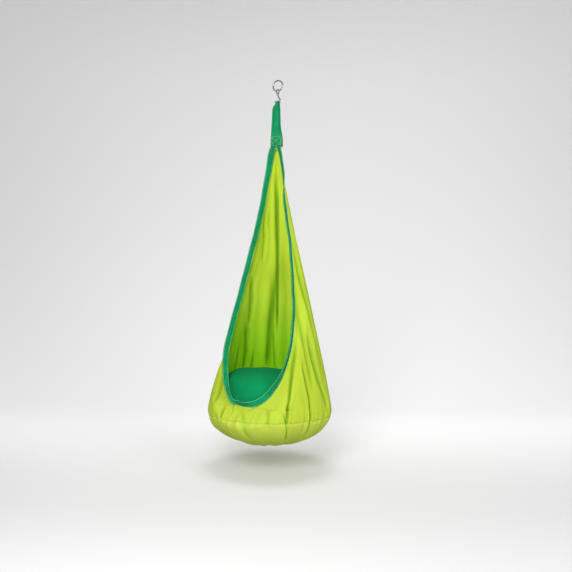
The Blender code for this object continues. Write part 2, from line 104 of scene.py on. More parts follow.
# the cushion
CUSHION_MIDDLE = -1.420
CUSHION_RADIUS = 0.220
CUSHION_RISE = 0.172
CUSHION_DROP = 0.126
CUSHION_FULLNESS = 2.3
CUSHION_FORWARD = 0.022
CUSHION_Y = -LEAN_SLOPE * (CLOTH_TOP - CUSHION_MIDDLE) + 0.016
CUSHION_CLEARANCE = 0.009
CUSHION_TILT = 0.08
CUSHION_LIFT = 0.030
CUSHION_SOFTNESS = 0.036
COVER_THICKNESS = 0.0045
# the stage
FLOOR_Z = -1.668


def smooth(low, high, value):
    """An even rise from 0 at low to 1 at high."""
    share = np.clip((value - low) / (high - low), 0.0, 1.0)
    return share * share * (3 - 2 * share)


def mix(start, end, share):
    return start + (end - start) * share


def run_length(points):
    """The distance along a line at each of its points."""
    steps = np.linalg.norm(np.diff(points, axis=0), axis=1)
    return np.concatenate(([0.0], np.cumsum(steps)))


# ------------------------------------------------------------------- pod surface

def outward(turn):
    """Level unit vectors that point away from the pod's middle at each turn."""
    angle = np.radians(turn)
    return np.stack((np.sin(angle), -np.cos(angle), 0 * angle), axis=-1)


def from_front(turn):
    """How far a turn is from the front, from 0 to 180 degrees."""
    return np.abs((turn + 180) % 360 - 180)


def lean(z):
    """The Y of the pod's middle line, which comes forward as it goes down."""
    return -LEAN_SLOPE * np.maximum(0.0, CLOTH_TOP - z)


def bowl_blend():
    """The heights of the line where the cone meets the bowl and of the bowl's middle."""
    tangent = CONE_SLOPE * BOWL_DEPTH / BOWL_RADIUS
    across = 1 / sqrt(1 + tangent * tangent)
    height = CONE_APEX - BOWL_RADIUS * across / CONE_SLOPE
    return height, height - BOWL_DEPTH * tangent * across


BOWL_TOP, BOWL_CENTRE = bowl_blend()
BOWL_BOTTOM = BOWL_CENTRE - BOWL_DEPTH


def pod_radius(z):
    cone = np.hypot(GATHER_RADIUS, CONE_SLOPE * (CONE_APEX - z))
    below = np.clip((BOWL_CENTRE - z) / BOWL_DEPTH, -1.0, 1.0)
    return np.where(z > BOWL_TOP, cone, BOWL_RADIUS * np.sqrt(1 - below ** 2))


def edge_turn(z):
    """The turn at which the opening's edge lies at height z."""
    drop = np.clip((CLOTH_TOP - z) / OPENING_DROP, 0.0, 1.0)
    closing = 1 - np.exp((z - V_POINT) / V_ROUNDING)
    open_turn = 90 * (1 - drop ** OPENING_DROP_POWER) ** (1 / OPENING_TURN_POWER)
    return np.where(z >= V_POINT, 0.0, open_turn * closing)


def edge_height(turn):
    share = np.clip(np.abs(turn) / 90, 0.0, 1.0)
    return CLOTH_TOP - OPENING_DROP * (1 - share ** OPENING_TURN_POWER) ** (1 / OPENING_DROP_POWER)


def edge_distance(turn, z):
    """About how far a point of the cloth is from the opening's edge."""
    around = from_front(turn)
    across = np.maximum(0.0, np.radians(around - edge_turn(z)) * pod_radius(z))
    below = np.maximum(0.0, edge_height(around) - z)
    both = across * below / np.maximum(1e-6, np.hypot(across, below))
    near = np.where(z < OPENING_BOTTOM, below, both)
    return np.where(around >= 90, across, near)


def pod_surface(turn, z):
    """Points of the pod's outer surface before any fold, as an array of (x, y, z). Near
    the opening it is drawn in towards the middle, and at the top it is gathered flat."""
    turn, z = np.broadcast_arrays(np.asarray(turn, float), np.asarray(z, float))
    draw = mix(DRAWN_IN_SIDE, DRAWN_IN_FRONT, smooth(1.15, 1.34, -z))
    draw = draw * smooth(-CLOTH_TOP, 0.60, -z)
    span = mix(DRAWN_SPAN_SIDE, DRAWN_SPAN_FRONT, smooth(1.20, 1.36, -z))
    draw = draw * (1 - smooth(0.0, span, edge_distance(turn, z)))
    reach = pod_radius(z) * (1 - draw)
    flat = mix(GATHER_FLATNESS, 1.0, smooth(-CLOTH_TOP, 0.50, -z))
    angle = np.radians(turn)
    return np.stack((reach * np.sin(angle), lean(z) - flat * reach * np.cos(angle), z), axis=-1)


# -------------------------------------------------------------- folds of the cloth

# Each fold: its line as (turn, height) points from the top down, its width, how deep the
# valley goes, how far the cloth beside it stands up, and on which side (+1 towards +turn).
FOLDS = [
    # right of the opening, seen from outside
    ([(64, -1.07), (59, -1.15), (52.5, -1.23), (48, -1.305), (44.5, -1.36), (42.5, -1.46)],
     0.0056, 0.0120, 0.0050, 1),
    ([(66, -1.17), (65, -1.23), (68, -1.34), (66, -1.45), (67, -1.51)],
     0.0056, 0.0135, 0.0060, -1),
    ([(78, -1.06), (80.5, -1.19), (84.5, -1.28), (91, -1.36), (92, -1.42)],
     0.0085, 0.0130, 0.0050, 1),
    ([(40, -1.38), (42.5, -1.425), (46, -1.51)], 0.0032, 0.0090, 0.0035, -1),
    ([(48, -1.165), (49.5, -1.24)], 0.0035, 0.0060, 0.0020, 1),
    ([(70, -0.80), (69, -1.00), (71, -1.10), (75, -1.33)], 0.0090, 0.0070, 0.0030, 1),
    ([(84, -0.60), (88, -0.90), (98, -1.20), (104, -1.36), (103, -1.44)],
     0.0100, 0.0080, 0.0040, -1),
    ([(60, -0.70), (64, -0.95), (66, -1.12)], 0.0070, 0.0045, 0.0020, 1),
    # under the rim
    ([(17, -1.365), (11, -1.38), (4, -1.395)], 0.0060, 0.0055, 0.0030, -1),
    ([(-20, -1.36), (-12.5, -1.405)], 0.0034, 0.0070, 0.0025, 1),
    ([(-4.5, -1.385), (3, -1.425), (7, -1.51)], 0.0100, 0.0055, 0.0030, -1),
    ([(24, -1.365), (26, -1.40), (27, -1.45)], 0.0080, 0.0040, 0.0025, 1),
    # left of the opening
    ([(-52, -1.23), (-47, -1.29), (-40, -1.35), (-37.5, -1.385)], 0.0062, 0.0080, 0.0035, -1),
    ([(-27, -1.37), (-22.5, -1.42), (-23, -1.50)], 0.0052, 0.0075, 0.0035, 1),
    ([(-52, -1.34), (-47, -1.40), (-46, -1.50)], 0.0060, 0.0070, 0.0030, 1),
    ([(-66, -0.90), (-66, -1.10), (-62, -1.30), (-60, -1.42)], 0.0090, 0.0080, 0.0040, 1),
    # the back, seen from inside through the opening
    ([(-140, -0.32), (-155, -0.51), (-158, -0.73), (-157.5, -1.14)],
     0.0068, -0.0125, -0.0045, 1),
    ([(-92, -0.52), (-98, -0.58), (-120, -0.67), (-124, -0.80)], 0.0080, -0.0050, -0.0030, -1),
    ([(-98, -0.82), (-112, -0.95), (-116, -1.08)], 0.0120, -0.0080, -0.0030, -1),
    ([(-156, -0.76), (-148, -1.05), (-146, -1.24), (-149, -1.31)],
     0.0125, -0.0160, -0.0060, 1),
    ([(-150, -1.08), (-156, -1.30)], 0.0055, -0.0070, -0.0030, 1),
    ([(-111, -1.04), (-118, -1.20), (-118, -1.30)], 0.0120, -0.0100, -0.0040, -1),
    ([(-172, -0.60), (-170, -0.95), (-166, -1.20), (-164, -1.34)],
     0.0130, -0.0045, -0.0040, 1),
    # the back, seen from outside
    ([(150, -0.50), (148, -0.80), (140, -1.10), (136, -1.36), (137, -1.45)],
     0.0085, 0.0095, 0.0040, 1),
    ([(122, -0.55), (118, -1.10), (122, -1.34), (121, -1.45)], 0.0080, 0.0085, 0.0040, -1),
    ([(168, -0.80), (166, -1.10), (160, -1.34), (161, -1.46)], 0.0075, 0.0080, 0.0035, 1),
    ([(-84, -1.00), (-82, -1.18), (-84, -1.34), (-83, -1.45)], 0.0075, 0.0085, 0.0040, 1),
    ([(-100, -1.12), (-103, -1.30), (-101, -1.46)], 0.0065, 0.0070, 0.0035, -1),
    ([(-124, -1.16), (-126, -1.32), (-123, -1.45)], 0.0065, 0.0075, 0.0035, 1),
    ([(-146, -1.33), (-149, -1.38), (-147, -1.46)], 0.0070, 0.0080, 0.0035, -1),
]


FOLD_FADE_IN = 0.30
FOLD_FADE_OUT = 0.84
FOLD_SHARPNESS = 1.7
# A fold this deep gets the full painted shade in its colour.
DARKEST_DEPTH = 0.011
PLEAT_HEIGHT = 0.0042
PLEAT_REACH = 0.22
WAVE_HEIGHT = 0.0030
SEAM_GATHER_HEIGHT = 0.0021
SEAM_GATHER_REACH = 0.034
SEAM_GROOVE_DEPTH = 0.0012
SEAM_GROOVE_WIDTH = 0.0032
EDGE_FOLD_SHARE = 0.10
# Gentle waves, each as (number round the pod, phase, share of the height).
TOP_PLEATS = [(9, 0.4, 0.5), (14, 2.1, 0.5), (23, 1.0, 0.28)]
CONE_WAVES = [(5, 0.2, 0.5), (8, 1.3, 0.6), (13, 2.9, 0.45), (19, 0.7, 0.25)]
SEAM_GATHERS = [(31, 0.9, 0.5), (47, 2.2, 0.45), (71, 1.1, 0.30), (23, 0.1, 0.45)]


def fold_parts(turn, z, line, width, side):
    """A fold's valley and the bank beside it, each from 0 to 1."""
    turns, heights = np.array(line, float).T
    centre = np.interp(-z, -heights, turns)
    off = (turn - centre + 180) % 360 - 180
    distance = np.radians(off) * pod_radius(z)
    along = (heights[0] - z) / (heights[0] - heights[-1])
    ends = smooth(0.0, FOLD_FADE_IN, along) * (1 - smooth(FOLD_FADE_OUT, 1.0, along))
    spread = width * (0.75 + 0.5 * np.clip(1 - along, 0.0, 1.0))
    valley = np.exp(-np.abs(distance / spread) ** FOLD_SHARPNESS)
    bank = np.exp(-((distance - side * 2.1 * spread) / (1.5 * spread)) ** 2)
    return ends * valley, ends * bank


def fold_painted_shade(turn, z):
    """How deep in a fold the cloth lies, from 0 to 1: the share of painted shade in its colour there."""
    total = 0.0
    for line, width, depth, _, side in FOLDS:
        valley, _ = fold_parts(turn, z, line, width, side)
        total = total + valley * min(1.0, abs(depth) / DARKEST_DEPTH)
    return np.clip(total, 0.0, 1.0)


def waves(phases, turn, height):
    """A sum of gentle waves round the pod that closes on itself."""
    total = 0.0
    for count, phase, share in phases:
        total = total + share * np.sin(np.radians(turn) * count + phase)
    return total * height


def fold_height(turn, z):
    """How far the cloth stands out of the plain surface, along its normal."""
    drop = CLOTH_TOP - z
    drift = np.degrees(np.sin(z * 7.0) * 0.05 + np.sin(z * 17.0 + 1.0) * 0.02)
    quiet = smooth(0.004, 0.050, edge_distance(turn, z))
    pleats = waves(TOP_PLEATS, turn + drift, PLEAT_HEIGHT)
    total = pleats * np.exp(-drop / PLEAT_REACH) * smooth(-0.01, 0.05, drop)
    broad = waves(CONE_WAVES, turn + drift * 1.7, WAVE_HEIGHT)
    total = total + broad * smooth(0.10, 0.70, drop) * quiet
    near_seam = np.exp(-np.abs(z - BASE_SEAM) / SEAM_GATHER_REACH)
    total = total + waves(SEAM_GATHERS, turn + drift, SEAM_GATHER_HEIGHT) * near_seam
    for line, width, depth, lift, side in FOLDS:
        valley, bank = fold_parts(turn, z, line, width, side)
        total = total + lift * bank - depth * valley
    seam = np.exp(-((z - BASE_SEAM) / SEAM_GROOVE_WIDTH) ** 2)
    return total * mix(EDGE_FOLD_SHARE, 1.0, quiet) - SEAM_GROOVE_DEPTH * seam


def grid_normals(points, wraps, away):
    """Unit normals of a grid of points, on the side that the vectors away point to."""
    along = np.roll(points, -1, axis=1) - np.roll(points, 1, axis=1)
    if not wraps:
        along[:, 0] = points[:, 1] - points[:, 0]
        along[:, -1] = points[:, -1] - points[:, -2]
    normal = np.cross(along, np.gradient(points, axis=0))
    length = np.linalg.norm(normal, axis=-1, keepdims=True)
    normal = normal / np.maximum(length, 1e-12)
    return normal * np.sign(np.sum(normal * away, axis=-1, keepdims=True) + 1e-9)


def folded(turn, z, wraps):
    """The folded surface over grids of turn and height. The back lies flatter near the top."""
    plain = pod_surface(turn, z)
    flatter = BACK_FLATNESS * smooth(90, 130, from_front(turn)) * np.exp((z - CLOTH_TOP) / 0.050)
    plain[..., 1] -= (plain[..., 1] - lean(z)) * flatter
    normal = grid_normals(plain, wraps, outward(turn))
    return plain + normal * (fold_height(turn, z) - CLOTH_THICKNESS / 2)[..., None]


# --------------------------------------------------------------------- mesh makers

def mesh_object(name, vertices, faces, material, uv=None, painted_shading=None):
    data = bpy.data.meshes.new(name)
    data.from_pydata([tuple(map(float, v)) for v in vertices], [], faces)
    if painted_shading is not None:
        layer = data.attributes.new("fold_painted_shade", "FLOAT", "POINT")
        layer.data.foreach_set("value", np.asarray(painted_shading, np.float32).ravel())
    if uv is not None:
        layer = data.uv_layers.new(name="flat")
        indices = np.empty(len(data.loops), np.int32)
        data.loops.foreach_get("vertex_index", indices)
        layer.data.foreach_set("uv", np.asarray(uv, np.float32)[indices].ravel())
    data.validate()
    mesh = bmesh.new()
    mesh.from_mesh(data)
    bmesh.ops.recalc_face_normals(mesh, faces=mesh.faces)
    mesh.to_mesh(data)
    mesh.free()
    data.shade_smooth()
    data.materials.append(material)
    made = bpy.data.objects.new(name, data)
    bpy.context.scene.collection.objects.link(made)
    return made


def grid_faces(rows, columns, wraps):
    """The faces of a grid of points, row by row. A grid that wraps is closed round."""
    faces = []
    for i in range(rows - 1):
        for j in range(columns if wraps else columns - 1):
            a = i * columns
            k = (j + 1) % columns
            faces.append((a + j, a + k, a + columns + k, a + columns + j))
    return faces


def capped(rows, columns):
    """A closed tube's faces, with a flat cap at each end."""
    faces = grid_faces(rows, columns, True)
    faces.append(tuple(range(columns)))
    faces.append(tuple((rows - 1) * columns + j for j in reversed(range(columns))))
    return faces


def ring_faces(rows, columns):
    """A tube's faces where its last row meets its first."""
    last = (rows - 1) * columns
    faces = grid_faces(rows, columns, True)
    faces.extend((last + j, last + (j + 1) % columns, (j + 1) % columns, j) for j in range(columns))
    return faces


def drawn_in(points, tips):
    """The vertices and faces of a grid that wraps, with rows drawn in to a point each.
    Tips gives the point for each such row's index."""
    rows, columns = points.shape[:2]
    vertices = list(points.reshape(-1, 3))
    faces = grid_faces(rows, columns, True)
    for row, tip in tips.items():
        first = row * columns
        for j in range(columns):
            faces.append((first + j, first + (j + 1) % columns, len(vertices)))
        vertices.append(tip)
    return vertices, faces


def thicken(piece, lit_inside_copy=None):
    """Gives cloth its thickness, and its inner face a material of its own, a copy of the cloth's with
    painted light and shade.
    """
    change = piece.modifiers.new("thickness", "SOLIDIFY")
    change.thickness = CLOTH_THICKNESS
    change.offset = 0.0
    if lit_inside_copy:
        piece.data.materials.append(lit_inside_copy)
        change.material_offset = 1


def frames_along(points, across):
    """Unit across and face directions at each point of a band's centre line."""
    tangent = np.gradient(points, axis=0)
    tangent /= np.linalg.norm(tangent, axis=1, keepdims=True)
    across = across - tangent * np.sum(across * tangent, axis=1, keepdims=True)
    across /= np.linalg.norm(across, axis=1, keepdims=True)
    return across, np.cross(tangent, across)


def band(name, centres, across, profile, widths, ripple):
    """Webbing swept along its centre line. The profile is a closed line of (across, face)
    points for a band of unit half width and real thickness."""
    side, face = frames_along(centres, across)
    u, v = profile.T
    reach = np.asarray(widths)[:, None] / 2 * u[None, :]
    rise = v[None, :] + ripple
    points = centres[:, None, :] + side[:, None, :] * reach[..., None] + face[:, None, :] * rise[..., None]
    uv = np.stack(np.broadcast_arrays(run_length(centres)[:, None], reach), axis=-1)
    faces = capped(len(centres), len(profile))
    return mesh_object(name, points.reshape(-1, 3), faces, green_webbing, uv.reshape(-1, 2))


def tape_profile(thickness, ribs, rib_height, count):
    """A flat woven tape's section, with rounded selvedges and lengthwise ribs."""
    u = np.linspace(-1.0, 1.0, count)
    rounding = np.sqrt(np.clip(1 - ((np.abs(u) - 0.94) / 0.06).clip(0) ** 2, 0.0, 1.0))
    rib = rib_height * (0.5 - 0.5 * np.cos(pi * ribs * (u + 1)))
    half = (thickness / 2 + rib) * mix(0.25, 1.0, rounding)
    return np.concatenate((np.stack((u, half), axis=1), np.stack((u, -half), axis=1)[::-1]))


def along_line(points, spacing):
    """Even places along a line, as fractional indices of its points."""
    length = run_length(points)
    count = max(2, int(length[-1] / spacing) + 1)
    return np.interp(np.linspace(0.0, length[-1], count), length, np.arange(len(points)))


def lookup(values, places):
    """The values at fractional indices."""
    low = np.clip(np.floor(places).astype(int), 0, len(values) - 2)
    share = (places - low)[:, None]
    return values[low] * (1 - share) + values[low + 1] * share


# One stitch, as (place along it, height, thickness) in its own length and radius.
STITCH_SHAPE = (
    (-0.5, -0.9, 0.45), (-0.38, 0.15, 0.95), (0.0, 0.55, 1.05), (0.38, 0.15, 0.95),
    (0.5, -0.9, 0.45),
)
STITCH_SIDES = 6


def stitches(name, lines, material):
    """Rows of stitches: short humped lengths of thread that dip into the cloth.
    Each line is (points, normals)."""
    vertices = []
    faces = []
    angle = 2 * pi * np.arange(STITCH_SIDES)[:, None] / STITCH_SIDES
    for points, normals in lines:
        places = along_line(points, STITCH_PITCH)
        here = lookup(points, places)
        up = lookup(normals, places)
        for start, end, lift in zip(here[:-1], here[1:], up):
            step = np.linalg.norm(end - start)
            ahead = (end - start) / step
            lift = lift / np.linalg.norm(lift)
            side = np.cross(ahead, lift)
            base = len(vertices)
            for reach, rise, size in STITCH_SHAPE:
                centre = (start + end) / 2 + lift * (rise * THREAD_RADIUS)
                centre = centre + ahead * (reach * step * STITCH_LENGTH / STITCH_PITCH)
                spokes = np.cos(angle) * side + np.sin(angle) * lift
                vertices.extend(centre + THREAD_RADIUS * size * spokes)
            for face in capped(len(STITCH_SHAPE), STITCH_SIDES):
                faces.append(tuple(base + index for index in face))
    return mesh_object(name, vertices, faces, material)


# ----------------------------------------------------------------------- materials

WAVE_SCALE = 0.314
CLOTH_SEE_THROUGH = 0.44
CROSS_PITCH = 0.0011


def scaled(color, factor, lift=0.0):
    return tuple(min(1.0, channel * factor + lift) for channel in color)


class Look:
    """A material, and short ways to add the nodes that feed its shader."""

    def __init__(self, name, rough, specular=0.5):
        self.material = bpy.data.materials.new(name)
        self.material.use_nodes = True
        self.tree = self.material.node_tree
        self.shader = self.tree.nodes["Principled BSDF"]
        self.feed(self.shader, {"Roughness": rough, "Specular IOR Level": specular})
        places = self.tree.nodes.new("ShaderNodeTexCoord")
        self.flat = places.outputs["UV"]
        self.solid = places.outputs["Object"]

    def feed(self, node, inputs):
        """Gives each input its value, or a link from another node's output."""
        for key, value in inputs.items():
            if isinstance(value, bpy.types.NodeSocket):
                self.tree.links.new(value, node.inputs[key])
            else:
                node.inputs[key].default_value = value

    def add(self, kind, output, inputs, **settings):
        node = self.tree.nodes.new("ShaderNode" + kind)
        for name, value in settings.items():
            setattr(node, name, value)
        self.feed(node, inputs)
        return node.outputs[output]

    def times(self, first, second):
        return self.add("Math", 0, {0: first, 1: second}, operation="MULTIPLY")

    def mix(self, share, first, second):
        """The first colour where share is 0, the second where it is 1."""
        colors = [(*color, 1.0) if isinstance(color, tuple) else color for color in (first, second)]
        return self.add("Mix", 2, {0: share, 6: colors[0], 7: colors[1]}, data_type="RGBA")

    def noise(self, places, scale, detail, stretch=(1.0, 1.0, 1.0)):
        places = self.add("Mapping", "Vector", {"Vector": places, "Scale": stretch})
        return self.add("TexNoise", "Fac", {"Vector": places, "Scale": scale, "Detail": detail})

    def ramp(self, value, low, high):
        inputs = {"Value": value, "From Min": low, "From Max": high}
        return self.add("MapRange", "Result", inputs, interpolation_type="SMOOTHSTEP")

    def along(self, direction):
        """How far each place lies in a direction from the origin."""
        return self.add("VectorMath", "Value", {0: self.solid, 1: direction}, operation="DOT_PRODUCT")

    def bands(self, axis, pitch, **wobble):
        inputs = {"Vector": self.flat, "Scale": WAVE_SCALE / pitch}
        inputs.update({name.replace("_", " "): value for name, value in wobble.items()})
        return self.add("TexWave", "Fac", inputs, bands_direction=axis)

    def weave(self, pitch):
        """A plain weave: two sets of threads that pass over each other, as a height."""
        wobble = {"Distortion": 0.35, "Detail": 1.0, "Detail_Scale": 0.6}
        return self.times(self.bands("X", pitch, **wobble), self.bands("Y", pitch, **wobble))

    def bump(self, height, strength, distance, **below):
        inputs = {"Height": height, "Strength": strength, "Distance": distance, **below}
        return self.add("Bump", "Normal", inputs)


def cloth_material(name, pale, deep, glow=None, fold_shade_color=None, inside_low_shade_color=None, pitch=THREAD_PITCH, crease=0.35):
    """Woven cotton: two tones in slow patches, slub threads, weave and fine creases. Where its colours are
    given, painted shade turns it deeper green towards the bottom of the bowl's inside and in its folds,
    and where glow is given, a share of the light comes through it in that colour."""
    look = Look(name, rough=0.90, specular=0.10)
    patches = look.ramp(look.noise(look.solid, scale=5.0, detail=3.0), 0.35, 0.65)
    slubs = look.noise(look.flat, scale=160.0, detail=3.0, stretch=(1.0, 14.0, 1.0))
    threads = look.weave(pitch)
    color = look.mix(patches, pale, deep)
    color = look.mix(look.times(look.ramp(slubs, 0.42, 0.70), 0.14), color, scaled(deep, 0.72))
    color = look.mix(look.times(threads, 0.12), color, scaled(pale, 1.15))
    # Painted shade: deeper green lower down inside the bowl, where less light reaches.
    if inside_low_shade_color:
        low_shade_share = look.ramp(look.along((0.0, 0.0, -1.0)), 0.86, 1.26)
        color = look.mix(look.times(low_shade_share, 0.80), color, inside_low_shade_color)
    # Painted shade in the folds: the colour turns deep green where the cloth lies in a fold.
    if fold_shade_color:
        painted_shading = look.add("Attribute", "Fac", {}, attribute_type="GEOMETRY", attribute_name="fold_painted_shade")
        fold_shade_share = look.times(painted_shading, 0.85)
        color = look.mix(fold_shade_share, color, fold_shade_color)
    wrinkles = look.noise(look.solid, scale=34.0, detail=3.0, stretch=(1.0, 1.0, 0.45))
    creases = look.bump(wrinkles, crease, 0.004)
    normal = look.bump(threads, 0.45, pitch * 0.35, Normal=creases)
    look.feed(look.shader, {"Base Color": color, "Normal": normal})
    if glow:
        light = look.mix(patches, glow, scaled(glow, 0.9))
        # The light through the cloth takes the same painted shade.
        if inside_low_shade_color:
            light = look.mix(low_shade_share, light, inside_low_shade_color)
        light = look.mix(fold_shade_share, light, fold_shade_color)
        back = look.add("BsdfTranslucent", 0, {"Color": light, "Normal": normal})
        both = look.add("MixShader", 0, {0: CLOTH_SEE_THROUGH, 1: look.shader.outputs[0], 2: back})
        look.feed(look.tree.nodes["Material Output"], {"Surface": both})
    return look.material


def webbing_material(name, pale, deep):
    """Ribbed tape: painted shade in the grooves between the ribs, cross threads all along."""
    look = Look(name, rough=0.78, specular=0.12)
    patches = look.noise(look.solid, scale=26.0, detail=3.0)
    streaks = look.noise(look.flat, scale=90.0, detail=2.0, stretch=(0.35, 6.0, 1.0))
    groove_shade = look.ramp(look.bands("Y", RIB_PITCH), 0.45, 0.0)
    cross = look.weave(CROSS_PITCH)
    color = look.mix(look.ramp(patches, 0.35, 0.68), pale, deep)
    color = look.mix(look.times(look.ramp(streaks, 0.38, 0.70), 0.35), color, deep)
    # Painted shade: darker in the grooves between the ribs.
    color = look.mix(look.times(groove_shade, 0.55), color, scaled(deep, 0.45))
    color = look.mix(look.times(cross, 0.22), color, scaled(pale, 1.25, 0.02))
    look.feed(look.shader, {"Base Color": color, "Normal": look.bump(cross, 0.55, 0.0005)})
    return look.material


def plain_material(name, color, rough, metallic=0.0, grain=60.0, change=0.12, bumps=0.0, coat=0.0):
    """A solid with slow changes of tone and roughness, and an optional fine grain."""
    look = Look(name, rough)
    spots = look.noise(look.solid, scale=grain, detail=4.0)
    span = {"Value": spots, "To Min": rough * 0.8, "To Max": min(1.0, rough * 1.25)}
    look.feed(look.shader, {
        "Base Color": look.mix(look.ramp(spots, 0.35, 0.70), color, scaled(color, 1 - change)),
        "Roughness": look.add("MapRange", "Result", span),
        "Metallic": metallic,
        "Coat Weight": coat,
    })
    if bumps:
        fine = look.noise(look.solid, scale=grain * 9, detail=2.0)
        look.feed(look.shader, {"Normal": look.bump(fine, bumps, 0.0003)})
    return look.material


# Painted shade: the deep green given to the cloth in its folds.
LIME_FOLD_PAINTED_SHADE = (0.150, 0.400, 0.003)
lime_cotton = cloth_material(
    "lime_cotton", (0.575, 0.650, 0.060), (0.520, 0.600, 0.044), glow=(0.360, 0.780, 0.008),
    fold_shade_color=LIME_FOLD_PAINTED_SHADE,
)
# The inside face: a paler copy of the cloth with a brighter glow, as painted light, turning deeper green
# lower down as painted shade.
lime_inside_painted_light_and_shade = cloth_material(
    "lime_inside_painted_light_and_shade", (0.680, 0.740, 0.066), (0.640, 0.700, 0.050), glow=(0.480, 0.820, 0.010),
    fold_shade_color=LIME_FOLD_PAINTED_SHADE, inside_low_shade_color=(0.290, 0.690, 0.003),
)
# The base: darker than the side cloth, as painted shade on its underside, with painted shade in its folds
# too.
base_cotton_painted_shade = cloth_material(
    "lime_cotton_base", (0.352, 0.432, 0.046), (0.322, 0.400, 0.038), fold_shade_color=LIME_FOLD_PAINTED_SHADE
)
cushion_cotton = cloth_material(
    "green_cotton", (0.000, 0.182, 0.062), (0.000, 0.160, 0.052), pitch=0.00050, crease=0.20
)
green_webbing = webbing_material("green_webbing", (0.001, 0.232, 0.084), (0.000, 0.165, 0.058))
pale_thread = plain_material("pale_thread", (0.42, 0.72, 0.36), 0.75, grain=400.0)
lime_thread = plain_material("lime_thread", (0.46, 0.62, 0.05), 0.75, grain=400.0)
steel = plain_material("steel", (0.27, 0.27, 0.265), 0.34, 1.0, grain=220.0, change=0.25, bumps=0.15)
zip_metal = plain_material("zip_metal", (0.58, 0.58, 0.58), 0.28, 1.0, grain=260.0, change=0.2)
zip_tape = webbing_material("zip_tape", (0.010, 0.300, 0.110), (0.004, 0.230, 0.085))
clear_vinyl = plain_material("clear_vinyl", (0.62, 0.66, 0.68), 0.32, grain=40.0, change=0.08, coat=0.4)


# --------------------------------------------------------------------- pod cloth

CLOTH_COLUMNS = 620
BACK_COLUMN = 300
RIM_START = -1.15
UNDER_ROWS = 30
SEAM_STITCH_RISE = 0.0052


def cloth_rows():
    """Heights of the cloth's rows: even down the sides, then by the rim's own curve, so
    that its edge is well followed, then even again down to the base seam."""
    side = np.linspace(CLOTH_TOP + 0.006, RIM_START, 170)
    rim = edge_height(np.linspace(float(edge_turn(RIM_START)), 0.0, 52)[1:])
    under = np.linspace(OPENING_BOTTOM, BASE_SEAM, UNDER_ROWS)[1:]
    return np.concatenate((side, rim, under))


def make_pod_cloth():
    """The sides, back and front apron as one cloth with the opening left out of it."""
    heights = cloth_rows()
    share = np.linspace(0.0, 1.0, CLOTH_COLUMNS)
    edge = edge_turn(heights)[:, None]
    turn = edge + (360 - 2 * edge) * share[None, :]
    z = np.broadcast_to(heights[:, None], turn.shape)
    points = folded(turn, z, False)
    points[-UNDER_ROWS:, -1] = points[-UNDER_ROWS:, 0]
    around = np.linalg.norm(np.diff(points, axis=1), axis=-1).sum(axis=1)
    flat_u = (share[None, :] - 0.5) * around[:, None]
    flat_v = run_length(points[:, BACK_COLUMN])[:, None]
    uv = np.stack(np.broadcast_arrays(flat_u, flat_v), axis=-1).reshape(-1, 2)
    faces = grid_faces(len(heights), CLOTH_COLUMNS, False)
    # The mesh carries how deep each point lies in a fold, for the painted shade in its colour.
    piece = mesh_object("pod_cloth", points.reshape(-1, 3), faces, lime_cotton, uv, fold_painted_shade(turn, z))
    mesh = bmesh.new()
    mesh.from_mesh(piece.data)
    bmesh.ops.remove_doubles(mesh, verts=mesh.verts, dist=0.00002)
    mesh.to_mesh(piece.data)
    mesh.free()
    # The inner face gets the inside copy of the cloth, with painted light and shade.
    thicken(piece, lit_inside_copy=lime_inside_painted_light_and_shade)
    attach(piece, "pod")
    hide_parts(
        "left_side_panel", "right_side_panel", "back_left_panel", "back_right_panel",
        "front_apron",
    )
    return piece


def make_base_cloth():
    """The round base, gathered into its seam and drawn smooth over the cushion."""
    columns = 420
    share = np.linspace(0.0, 1.0, 44) ** 0.8
    heights = BASE_SEAM + (BOWL_BOTTOM + 0.00015 - BASE_SEAM) * np.sin(share * pi / 2)
    turn = np.broadcast_to(np.arange(columns) * 360 / columns, (len(heights), columns))
    z = np.broadcast_to(heights[:, None], turn.shape)
    points = folded(turn, z, True)[:-1]
    foot = np.array([0.0, float(lean(BOWL_BOTTOM)), BOWL_BOTTOM + 0.0006])
    vertices, faces = drawn_in(points, {len(points) - 1: foot})
    flat = [(v[0], v[1]) for v in vertices]
    # How deep each point lies in a fold, for the painted shade in its colour.
    painted_shading = np.append(fold_painted_shade(turn, z)[:-1], 0.0)
    piece = mesh_object("base_cloth", vertices, faces, base_cotton_painted_shade, flat, painted_shading)
    thicken(piece)
    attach(piece, "pod")
    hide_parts("base_panel")
    return piece


def make_base_seam():
    """A row of stitches round the cloth, just above the line where it joins the base."""
    turn = np.linspace(0.0, 360.0, 700)
    z = np.full_like(turn, BASE_SEAM + SEAM_STITCH_RISE)
    points = folded(np.stack((turn, turn)), np.stack((z, z - 0.002)), False)[0]
    away = outward(turn)
    lines = [(points + away * CLOTH_THICKNESS * 0.6, away)]
    piece = stitches("base_seam_stitching", lines, lime_thread)
    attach(piece, "pod")


